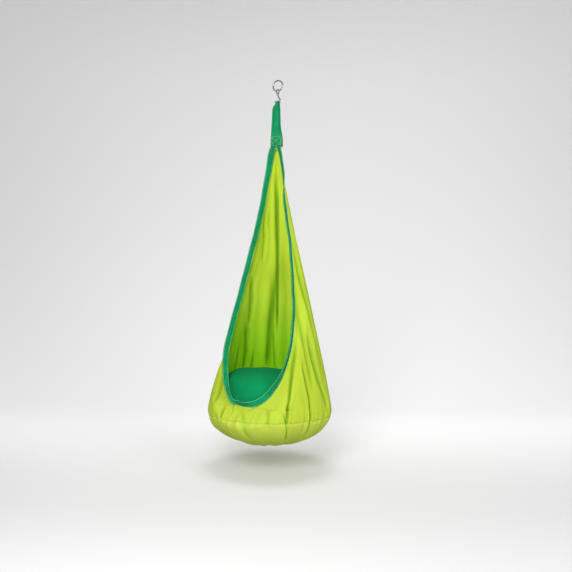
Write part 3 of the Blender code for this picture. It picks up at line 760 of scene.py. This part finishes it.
def make_gather():
    """The pod's cloth, bunched flat between the ends of the loop."""
    low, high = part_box("top_gather")
    columns = 160
    heights = np.linspace(high.z - 0.0004, low.z - 0.003, 26)
    angle = np.linspace(0, 2 * pi, columns, endpoint=False)
    rows = []
    for z in heights:
        share = (high.z - z) / (high.z - low.z)
        pleat = 1 - 0.10 * np.abs(np.sin(angle * 11 + 0.8 * share)) - 0.05 * np.sin(angle * 5 + 2.0)
        squeeze = 1.0 - 0.03 * sin(pi * share)
        rows.append(np.stack((
            (high.x - 0.0006) * squeeze * pleat * np.cos(angle),
            (high.y - 0.0003) * pleat * np.sin(angle),
            np.full(columns, z),
        ), axis=1))
    around = angle[None, :] * GATHER_RADIUS * 1.5
    uv = np.stack(np.broadcast_arrays(around, (high.z - heights)[:, None]), axis=-1).reshape(-1, 2)
    points = np.array(rows).reshape(-1, 3)
    piece = mesh_object("gathered_top", points, capped(len(heights), columns), lime_cotton, uv)
    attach(piece, "pod")
    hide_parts("top_gather")


# -------------------------------------------------------------------- edge binding

# How the tape stands along each side, by the turn from the middle of the rim: how far its
# free edge has swung from upright to forward, how far forward turns outwards, where it is
# sewn (1 along its lower edge, -1 along its inner edge) and how wide it is.
LEFT_TAPE = (
    (0, 6, 10, 14, 18, 22, 26, 34, 45),
    (44, 44, 34, 8, -38, -75, -90, -90, -90),
    (0, 0, 0, 0, 0, 2, 5, 18, 28),
    (1, 1, 1, 0.6, -0.1, -0.8, -1, -1, -1),
    (1, 0.94, 0.85, 0.74, 0.72, 0.78, 0.86, 0.95, 1),
)
RIGHT_TAPE = (
    (0, 6, 12, 20, 27, 38, 50, 60),
    (44, 38, 28, 16, 12, 24, 62, 90),
    (0, 4, 7, 9, 11, 12, 9, 3),
    (1,) * 8,
    (1,) * 8,
)
# At the top both tapes face sideways, by this many degrees more than further down. The
# left one turns forward at once, and the right one keeps much of its turn for a while.
TOP_FLARE = 62
RIGHT_FLARE_KEPT = 44
FLARE_REACH = 0.060
TAPE_RIM_START = -1.10
UPPER_TAPE = -0.6
JOIN_TURN = 36.0
STITCH_PLACE = 0.80
PROFILE_COLUMNS = 44


def rim_direction(turn, z):
    """Unit vectors up along the cloth."""
    rise = pod_surface(turn, z + 0.002) - pod_surface(turn, z - 0.012)
    return rise / np.linalg.norm(rise, axis=-1, keepdims=True)


def binding_line(sign, pose):
    """Centres, across directions and widths of one side's tape, from the top to mid rim.
    The first stretch lies flat on the gathered cloth, under the foot of the loop."""
    flat_z = np.linspace(-0.246, LOOP_BOTTOM - 0.002, 14)
    forward = -GATHER_FLATNESS * GATHER_RADIUS - 0.0018
    flat = np.stack((
        np.full_like(flat_z, TAPE_WIDTH / 2 + 0.0003),
        np.full_like(flat_z, forward),
        flat_z,
    ), axis=1)
    side_z = np.linspace(CLOTH_TOP, TAPE_RIM_START, 240)
    rim_turn = np.linspace(float(edge_turn(TAPE_RIM_START)), 0.0, 150)[1:]
    turn = np.concatenate((edge_turn(side_z), rim_turn))
    z = np.concatenate((side_z, edge_height(rim_turn)))
    place = np.where(z > UPPER_TAPE, 90.0, turn)
    swing, flare, sewn, size = [np.interp(place, pose[0], values) for values in pose[1:]]
    swing = np.radians(swing)
    below = np.maximum(0.0, LOOP_BOTTOM - z)
    kept = RIGHT_FLARE_KEPT if sign > 0 else 0
    flare = flare + (TOP_FLARE - kept) * np.exp(-below / FLARE_REACH)
    flare = flare + kept * (1 - smooth(0.12, 0.26, below))
    edge = pod_surface(turn, z)
    across = rim_direction(turn, z) * np.cos(swing)[:, None] + outward(flare) * np.sin(swing)[:, None]
    across, _ = frames_along(edge, across)
    width = TAPE_WIDTH * size
    centre = edge + across * (sewn * (width / 2 - TAPE_OVERLAP))[:, None]
    start = np.tile([sewn[0], 0.0, 0.0], (len(flat), 1))
    centre = np.concatenate((flat, centre))
    across = np.concatenate((start, across))
    width = np.concatenate((np.full(len(flat), TAPE_WIDTH), width))
    flip = np.array([sign, 1.0, 1.0])
    return centre * flip, across * flip, width


def smoothed(values, rounds):
    values = values.copy()
    for _ in range(rounds):
        values[1:-1] = (values[:-2] + 2 * values[1:-1] + values[2:]) / 4
    return values


def make_bindings():
    """One tape runs down the left edge, round the rim and up the right edge. It is cut
    where the CAD has its joins, so that each stretch stands for its own node."""
    left, left_across, left_width = binding_line(-1, LEFT_TAPE)
    right, right_across, right_width = binding_line(1, RIGHT_TAPE)
    centre = np.concatenate((left, right[::-1][1:]))
    across = np.concatenate((left_across, right_across[::-1][1:]))
    width = np.concatenate((left_width, right_width[::-1][1:]))
    places = along_line(centre, TAPE_SPACING)
    width = lookup(width[:, None], places)[:, 0]
    centre = smoothed(lookup(centre, places), 5)
    across = smoothed(lookup(across, places), 5)
    side, face = frames_along(centre, across)
    count = len(centre)
    profile = tape_profile(TAPE_THICKNESS, TAPE_RIBS, TAPE_RIB_HEIGHT, PROFILE_COLUMNS)
    length = np.arange(count) * TAPE_SPACING
    sway = 0.0011 * np.sin(length * 19 + 0.5) + 0.0009 * np.sin(length * 43 + 2.0)
    pucker = 0.00022 * np.sin(length * 2 * pi / 0.0105 + 1.5 * np.sin(length * 11))
    u = profile[:, 0]
    ripple = sway[:, None] * (0.35 + 0.65 * u[None, :] ** 2) + pucker[:, None] * np.abs(u)[None, :]
    fade = smooth(0.03, 0.12, length) * smooth(0.03, 0.12, length[-1] - length)
    ripple = ripple * fade[:, None]
    bottom = float(edge_height(JOIN_TURN))
    half = count // 2
    cut_left = int(np.argmin(np.abs(centre[:half, 2] - bottom)))
    cut_right = half + int(np.argmin(np.abs(centre[half:, 2] - bottom)))
    spans = {
        "left_edge_binding": (0, cut_left + 1),
        "front_rim_binding": (cut_left, cut_right + 1),
        "right_edge_binding": (cut_right, count),
    }
    for node, (start, end) in spans.items():
        piece = band(
            node.replace("binding", "tape"), centre[start:end], across[start:end], profile,
            width[start:end], ripple[start:end],
        )
        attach(piece, "pod")
        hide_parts(node)
    lines = []
    for place in (-STITCH_PLACE, STITCH_PLACE):
        for out in (1, -1):
            rise = ripple[:, int(np.argmin(np.abs(u[:PROFILE_COLUMNS] - place)))]
            rib = TAPE_RIB_HEIGHT * (0.5 - 0.5 * cos(pi * TAPE_RIBS * (place + 1)))
            height = TAPE_THICKNESS / 2 + rib
            points = centre + side * (width / 2 * place)[:, None] + face * (rise + out * height)[:, None]
            lines.append((points, face * out))
    piece = stitches("edge_tape_stitching", lines, pale_thread)
    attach(piece, "pod")


# ------------------------------------------------------------------- hanging loop

LOOP_REACH = 0.0071
BACK_SHIFT = -0.003
BACK_WIDTH = 0.80
LOOP_COLUMNS = 64
STITCHED_TO = -0.238
BOX_TOP = -0.2435
BOX_FOOT = -0.2815
BOX_HALF_WIDTH = 0.0225


def shift(z):
    """How far the strap has slid towards -X on the hook at height z."""
    return -0.0042 * float(smooth(0.10, 0.125, -z) * (1 - smooth(0.19, 0.25, -z)))


def loop_line():
    """The strap's centre line from the front foot, over the hook, to the back foot, with
    its width and how deep its lengthwise folds are."""
    foot = GATHER_RADIUS * GATHER_FLATNESS + 0.0062
    stops = (
        (foot, LOOP_BOTTOM, 0.0540, 0.0000),
        (foot, -0.262, 0.0530, 0.0002),
        (foot - 0.001, -0.240, 0.0510, 0.0004),
        (0.0112, -0.216, 0.0465, 0.0010),
        (0.0090, -0.190, 0.0430, 0.0016),
        (0.0090, -0.160, 0.0395, 0.0020),
        (0.0096, -0.134, 0.0365, 0.0022),
        (0.0096, -0.117, 0.0330, 0.0026),
        (0.0084, -0.105, 0.0240, 0.0026),
    )
    front = [(shift(z), -y, z, w, f) for y, z, w, f in stops]
    over = []
    for angle in np.linspace(180, 0, 9):
        place = radians(angle)
        y = LOOP_REACH * cos(place)
        over.append((0.0, y, SADDLE_Z + LOOP_REACH * sin(place), 0.0135, 0.0016))
    back = [(shift(z) + BACK_SHIFT, y, z, w * BACK_WIDTH, f) for y, z, w, f in reversed(stops)]
    return np.array(front + over + back)


def catmull(values, count):
    """A smooth line through the values, as count evenly numbered points."""
    padded = np.concatenate(([2 * values[0] - values[1]], values, [2 * values[-1] - values[-2]]))
    spans = len(values) - 1
    place = np.clip(np.linspace(0, spans, count), 0, spans - 1e-9)
    i = place.astype(int)
    t = (place - i)[:, None]
    a, b, c, d = padded[i], padded[i + 1], padded[i + 2], padded[i + 3]
    return 0.5 * (2 * b + (c - a) * t + (2 * a - 5 * b + 4 * c - d) * t ** 2
                  + (3 * b - a - 3 * c + d) * t ** 3)


def make_loop():
    """The webbing loop: flat and wide where it is sewn, folded lengthwise over the hook."""
    line = catmull(loop_line(), 300)
    centre = line[:, :3]
    width = line[:, 3]
    depth = line[:, 4:5]
    across = np.tile([1.0, 0.0, 0.0], (len(centre), 1))
    profile = tape_profile(LOOP_THICKNESS, 5, 0.00030, LOOP_COLUMNS)
    u = profile[:, 0]
    wave = np.sin(1.5 * pi * (u + 1) + 0.4) * depth
    wave = wave + 0.35 * depth * np.sin(3.4 * pi * u + 1.0)
    piece = band("hanging_strap", centre, across, profile, width, wave)
    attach(piece, "pod")
    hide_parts("hanging_loop")
    _, face = frames_along(centre, across)
    height = LOOP_THICKNESS / 2 + THREAD_RADIUS
    lines = []
    flat = [index for index in range(len(centre)) if centre[index, 2] < STITCHED_TO]
    for half in (flat[:len(flat) // 2], flat[len(flat) // 2:]):
        rows = centre[half]
        rise = face[half] * np.sign(face[half][:, 1:2] * rows[:, 1:2])
        for level, slope in ((BOX_TOP, 0.0010), (BOX_FOOT, 0.0008)):
            at = int(np.argmin(np.abs(rows[:, 2] - level)))
            x = np.linspace(-0.0262, 0.0262, 24)
            points = rows[at] + np.stack((x, 0 * x, slope * x / 0.026), axis=1) + rise[at] * height
            lines.append((points, np.tile(rise[at], (24, 1))))
        wide = BOX_HALF_WIDTH
        corner = BOX_HALF_WIDTH - 0.001
        levels = np.linspace(BOX_TOP - 0.003, BOX_FOOT + 0.003, 16)
        order = np.argsort(rows[:, 2])
        for x_top, x_foot in ((-wide, -wide), (wide, wide), (-corner, corner), (corner, -corner)):
            y = np.interp(levels, rows[order, 2], rows[order, 1])
            x = np.linspace(x_top, x_foot, 16)
            normals = np.tile(rise[len(rise) // 2], (16, 1))
            lines.append((np.stack((x, y, levels), axis=1) + normals * height, normals))
    piece = stitches("strap_stitching", lines, pale_thread)
    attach(piece, "pod")


# ------------------------------------------------------------------------ cushion

def cushion_surface(turn, share):
    """A plump disc: share runs from -1 at the foot to 1 at the crown. It sits a little
    back from the rim, its crown leans forward and it stands higher on the left. Where it
    would reach the cloth, it is held in."""
    radius = CUSHION_RADIUS * (1 - np.abs(share) ** CUSHION_FULLNESS) ** (1 / CUSHION_FULLNESS)
    z = CUSHION_MIDDLE + share * np.where(share > 0, CUSHION_RISE, CUSHION_DROP)
    angle = np.radians(turn)
    crown = smooth(0.0, 1.0, share)
    x = radius * np.sin(angle)
    y = CUSHION_Y - CUSHION_FORWARD * crown - radius * np.cos(angle)
    z = z - CUSHION_TILT * x * smooth(-0.1, 0.6, share)
    z = z + CUSHION_LIFT * smooth(0.08, 0.21, -x) * smooth(-0.1, 0.6, share)
    away = np.hypot(x, y - lean(z))
    real_turn = np.degrees(np.arctan2(x, -(y - lean(z))))
    wall = pod_surface(real_turn, z)
    room = np.hypot(wall[..., 0], wall[..., 1] - lean(z)) - CUSHION_CLEARANCE
    free = np.clip(0.5 + (room - away) / CUSHION_SOFTNESS, 0.0, 1.0)
    least = mix(room, away, free) - CUSHION_SOFTNESS / 2 * free * (1 - free)
    keep = least / np.maximum(away, 1e-6)
    return np.stack((x * keep, lean(z) + (y - lean(z)) * keep, z), axis=-1)


CUSHION_PUCKERS = [(29, 0.3, 0.5), (43, 1.7, 0.45), (61, 0.6, 0.3), (17, 2.0, 0.4)]
CUSHION_WAVES = [(3, 0.5, 0.6), (5, 2.2, 0.5), (8, 0.9, 0.3)]


def with_poles(points):
    """A grid that wraps, closed at its first and last rows."""
    return drawn_in(points, {row: points[row].mean(axis=0) for row in (0, len(points) - 1)})


def make_cushion():
    """The cover, puckered along its side seam, and the bladder's skin just inside it."""
    columns = 300
    share = np.sin(np.linspace(-pi / 2, pi / 2, 150))[1:-1, None]
    turn = np.broadcast_to(np.arange(columns) * 360 / columns, (len(share), columns))
    points = cushion_surface(turn, np.broadcast_to(share, turn.shape))
    centre = np.array([0.0, CUSHION_Y, CUSHION_MIDDLE])
    normal = grid_normals(points, True, points - centre)
    puckers = waves(CUSHION_PUCKERS, turn, 0.0022) * np.exp(-np.abs(share) / 0.16)
    seam = np.exp(-(share / 0.014) ** 2)
    broad = waves(CUSHION_WAVES, turn, 0.0016) * np.abs(share)
    front = np.exp(-((turn - 345) / 9.0) ** 2) + np.exp(-((turn - 328) / 7.0) ** 2)
    ridges = np.sin(np.radians(turn) * 58 + 9 * share) * front
    ridges = ridges * smooth(0.15, 0.35, share) * (1 - smooth(0.62, 0.92, share))
    height = puckers - 0.0022 * seam + broad - 0.0006 * ridges
    points = points + normal * height[..., None]
    vertices, faces = with_poles(points)
    uv = [(v[0], v[1]) for v in vertices]
    piece = mesh_object("cushion_cover", vertices, faces, cushion_cotton, uv)
    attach(piece, "pod")
    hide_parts("cushion_cover_top", "cushion_cover_base")
    inner = points - normal * COVER_THICKNESS
    bladder = mesh_object("bladder_skin", *with_poles(inner[::2, ::2]), clear_vinyl)
    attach(bladder, "pod")
    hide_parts("air_bladder")


# ----------------------------------------------------------------------- hardware

RING_STEPS = 120
RING_SIDES = 32


def ring_grid(points, radii, sides, closed):
    """The vertices of a round bar along points in the plane Y = 0."""
    if closed:
        tangent = np.roll(points, -1, axis=0) - np.roll(points, 1, axis=0)
    else:
        tangent = np.gradient(points, axis=0)
    tangent = tangent / np.linalg.norm(tangent, axis=1, keepdims=True)
    out = np.cross(tangent, [0.0, 1.0, 0.0])
    angle = np.linspace(0, 2 * pi, sides, endpoint=False)
    spokes = np.cos(angle)[None, :, None] * out[:, None, :]
    spokes = spokes + np.sin(angle)[None, :, None] * np.array([0.0, 1.0, 0.0])
    return points[:, None, :] + spokes * np.asarray(radii)[:, None, None]


def turned(name, profile, closed=False, sides=64):
    """A body turned about the Z axis from (radius, height) points."""
    angle = np.linspace(0, 2 * pi, sides, endpoint=False)
    rows = [
        np.stack((radius * np.cos(angle), radius * np.sin(angle), np.full(sides, height)), axis=1)
        for radius, height in profile
    ]
    vertices = np.array(rows).reshape(-1, 3)
    faces = ring_faces(len(rows), sides) if closed else capped(len(rows), sides)
    return mesh_object(name, vertices, faces, steel)


def combine(piece, tool, how):
    """Adds the tool to the piece or cuts it out, and uses the tool up."""
    change = piece.modifiers.new("combine", "BOOLEAN")
    change.operation = how
    change.solver = "EXACT"
    change.object = tool
    graph = bpy.context.evaluated_depsgraph_get()
    made = bpy.data.meshes.new_from_object(piece.evaluated_get(graph), depsgraph=graph)
    piece.modifiers.clear()
    piece.data = made
    bpy.data.objects.remove(tool)


def rounded(radius, low, high, bevel, steps=5):
    """The side of a turned body with rounded corners, from its foot up."""
    found = []
    for i in range(steps + 1):
        angle = pi / 2 * i / steps
        found.append((radius - bevel + bevel * sin(angle), low + bevel - bevel * cos(angle)))
    for i in range(steps + 1):
        angle = pi / 2 * i / steps
        found.append((radius - bevel + bevel * cos(angle), high - bevel + bevel * sin(angle)))
    return found


def hardware_piece(piece, node, body):
    """Keeps the flat ends crisp and the round sides smooth, and gives the piece its place."""
    piece.data.set_sharp_from_angle(angle=radians(35))
    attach(piece, body)
    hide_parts(node)


def make_eye():
    """The round eye, a bent and welded ring, with the bored boss at its foot."""
    middle = np.array([0.0, 0.0, -(EYE_MEAN_RADIUS - EYE_WIRE_RADIUS)])
    angle = np.linspace(0, 2 * pi, RING_STEPS, endpoint=False)
    points = middle + EYE_MEAN_RADIUS * np.stack((np.cos(angle), 0 * angle, np.sin(angle)), axis=1)
    rows = ring_grid(points, np.full(RING_STEPS, EYE_WIRE_RADIUS), RING_SIDES, True)
    faces = ring_faces(RING_STEPS, RING_SIDES)
    eye = mesh_object("round_eye", rows.reshape(-1, 3), faces, steel)
    combine(eye, turned("boss_tool", rounded(BOSS_RADIUS, BOSS_BOTTOM, BOSS_TOP, 0.0011)), "UNION")
    bore = ((BOSS_BORE_RADIUS, BOSS_BOTTOM - 0.004), (BOSS_BORE_RADIUS, BOSS_TOP + 0.004))
    combine(eye, turned("bore_tool", bore), "DIFFERENCE")
    hardware_piece(eye, "swivel_eye", "eye")


def make_washer():
    low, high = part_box("swivel_washer")
    inner = HOOK_WIRE_RADIUS + 0.0003
    outer = rounded(high.x, low.z, high.z, 0.0004, 3)
    washer = turned("boss_washer", [(inner, low.z), *outer, (inner, high.z)], closed=True)
    hardware_piece(washer, "swivel_washer", "hook")


def make_hook():
    """The hook's bent wire with its rounded tip, and the collar, shank and peened head."""
    wide = HOOK_HALF_WIDTH
    route = np.array((
        (0.0, 0.0, BOSS_BOTTOM - 0.004), (0.0006, 0.0, -0.0615), (0.0055, 0.0, -0.0715),
        (wide - 0.0008, 0.0, -0.0800), (wide, 0.0, -0.0868), (wide * 0.80, 0.0, SADDLE_Z + 0.0014),
        (wide * 0.42, 0.0, SADDLE_Z), (-wide * 0.42, 0.0, SADDLE_Z),
        (-wide * 0.80, 0.0, SADDLE_Z + 0.0014), (-wide, 0.0, -0.0870), (-wide * 1.02, 0.0, -0.0835),
    ))
    points = catmull(route, 150)
    length = run_length(points)
    left = np.clip((length[-1] - length) / 0.0022, 0.0, 1.0)
    radii = HOOK_WIRE_RADIUS * np.sqrt(np.clip(1 - (1 - left) ** 2, 0.16, 1.0))
    rows = ring_grid(points, radii, 28, False)
    hook = mesh_object("bent_hook", rows.reshape(-1, 3), capped(len(points), 28), steel)
    low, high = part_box("swivel_washer")
    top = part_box("swivel_hook")[1].z
    base = high.z + 0.0003
    collar_top = BOSS_BOTTOM - 0.0003
    collar = rounded(COLLAR_RADIUS, collar_top - COLLAR_HEIGHT, collar_top, 0.0010)
    head = [
        (HEAD_RADIUS * cos(pi / 2 * i / 7), base + (top - base) * sin(pi / 2 * i / 7)) for i in range(7)
    ]
    profile = [*collar, (HOOK_WIRE_RADIUS, collar_top), (HOOK_WIRE_RADIUS, base), *head]
    combine(hook, turned("shank_tool", profile), "UNION")
    hardware_piece(hook, "swivel_hook", "hook")


def make_hidden_fittings():
    """The bladder's valve and the zip keep the shape they have in the part."""
    for node, look in (
        ("valve_stem", clear_vinyl), ("valve_plug", clear_vinyl),
        ("cushion_zip", zip_tape), ("zip_slider", zip_metal),
    ):
        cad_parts[node].data.materials.clear()
        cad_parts[node].data.materials.append(look)


# -------------------------------------------------------------------------- stage

CAMERA_TURN = radians(28.0)
CAMERA_DISTANCE = 2.76
CAMERA_HEIGHT = -0.892
CAMERA_SIDE = 0.0415
CAMERA_ROLL = radians(0.40)
CAMERA_LENS = 39.84
SWEEP_START = 1.2
SWEEP_RADIUS = 3.0
SWEEP_STEPS = 24
AWAY = Vector((-sin(CAMERA_TURN), cos(CAMERA_TURN), 0))
SIDE = Vector((cos(CAMERA_TURN), sin(CAMERA_TURN), 0))


def make_stage():
    """A pale sweep: a floor that curves up into the wall behind. Its colour is painted shade and light:
    darker on the floor towards the camera, lighter on the wall and towards the right.
    """
    look = Look("backdrop", rough=0.95, specular=0.0)
    wall_painted_light = look.mix(look.noise(look.solid, scale=0.8, detail=2.0), (0.87, 0.87, 0.87), (0.855, 0.855, 0.86))
    # Painted light: the wall lighter towards the right.
    wall_painted_light = look.mix(look.ramp(look.along(SIDE), -1.0, 2.6), wall_painted_light, (0.92, 0.92, 0.92))
    # Painted shade: the floor darker towards the camera, the wall lighter behind.
    painted_shading = look.mix(look.ramp(look.along(AWAY), -0.7, 1.0), (0.53, 0.53, 0.53), wall_painted_light)
    look.feed(look.shader, {"Base Color": painted_shading})
    line = [(-6.0, 0.0), (SWEEP_START, 0.0)]
    for step in range(1, SWEEP_STEPS + 1):
        angle = pi / 2 * step / SWEEP_STEPS
        line.append((SWEEP_START + SWEEP_RADIUS * sin(angle), SWEEP_RADIUS * (1 - cos(angle))))
    line.append((SWEEP_START + SWEEP_RADIUS, 9.0))
    vertices = []
    for reach, height in line:
        for width in (-9.0, 9.0):
            vertices.append(AWAY * reach + SIDE * width + Vector((0, 0, FLOOR_Z + height)))
    faces = [(2 * i, 2 * i + 1, 2 * i + 3, 2 * i + 2) for i in range(len(line) - 1)]
    mesh_object("backdrop", vertices, faces, look.material)


def make_camera():
    data = bpy.data.cameras.new("camera")
    data.lens = CAMERA_LENS
    made = bpy.data.objects.new("camera", data)
    made.location = AWAY * -CAMERA_DISTANCE + SIDE * CAMERA_SIDE + Vector((0, 0, CAMERA_HEIGHT))
    facing = AWAY.to_track_quat("-Z", "Y").to_matrix()
    made.rotation_euler = (facing @ Matrix.Rotation(CAMERA_ROLL, 3, "Z")).to_euler()
    bpy.context.scene.collection.objects.link(made)
    bpy.context.scene.camera = made


def area_light(name, place, target, size, power):
    data = bpy.data.lights.new(name, "AREA")
    data.shape = "DISK"
    data.size = size
    data.energy = power
    made = bpy.data.objects.new(name, data)
    made.location = place
    made.rotation_euler = (target - place).to_track_quat("-Z", "Y").to_euler()
    bpy.context.scene.collection.objects.link(made)


def make_lights():
    """Soft studio light: a large key from the front left, a fill, and one from above that
    puts the round shadow on the floor."""
    middle = Vector((0, 0, -0.9))
    key = AWAY * -2.5 - SIDE * 0.45 + Vector((0, 0, -0.10))
    fill = AWAY * -2.3 + SIDE * 2.2 + Vector((0, 0, -0.30))
    above = AWAY * 0.1 + Vector((0, 0, 2.4))
    area_light("key", key, middle, 1.4, 74)
    area_light("fill", fill, middle, 2.4, 44)
    area_light("above", above, Vector((0, 0, -1.6)), 2.2, 50)
    world = bpy.data.worlds.new("world")
    world.use_nodes = True
    sky = world.node_tree.nodes["Background"]
    sky.inputs["Color"].default_value = (1.0, 1.0, 1.0, 1.0)
    sky.inputs["Strength"].default_value = 0.54
    bpy.context.scene.world = world
    bpy.context.scene.view_settings.view_transform = "Standard"


make_camera()
make_stage()
make_lights()
pod_cloth = make_pod_cloth()
base_cloth = make_base_cloth()
make_base_seam()
make_gather()
make_bindings()
make_loop()
make_cushion()
make_eye()
make_washer()
make_hook()
make_hidden_fittings()
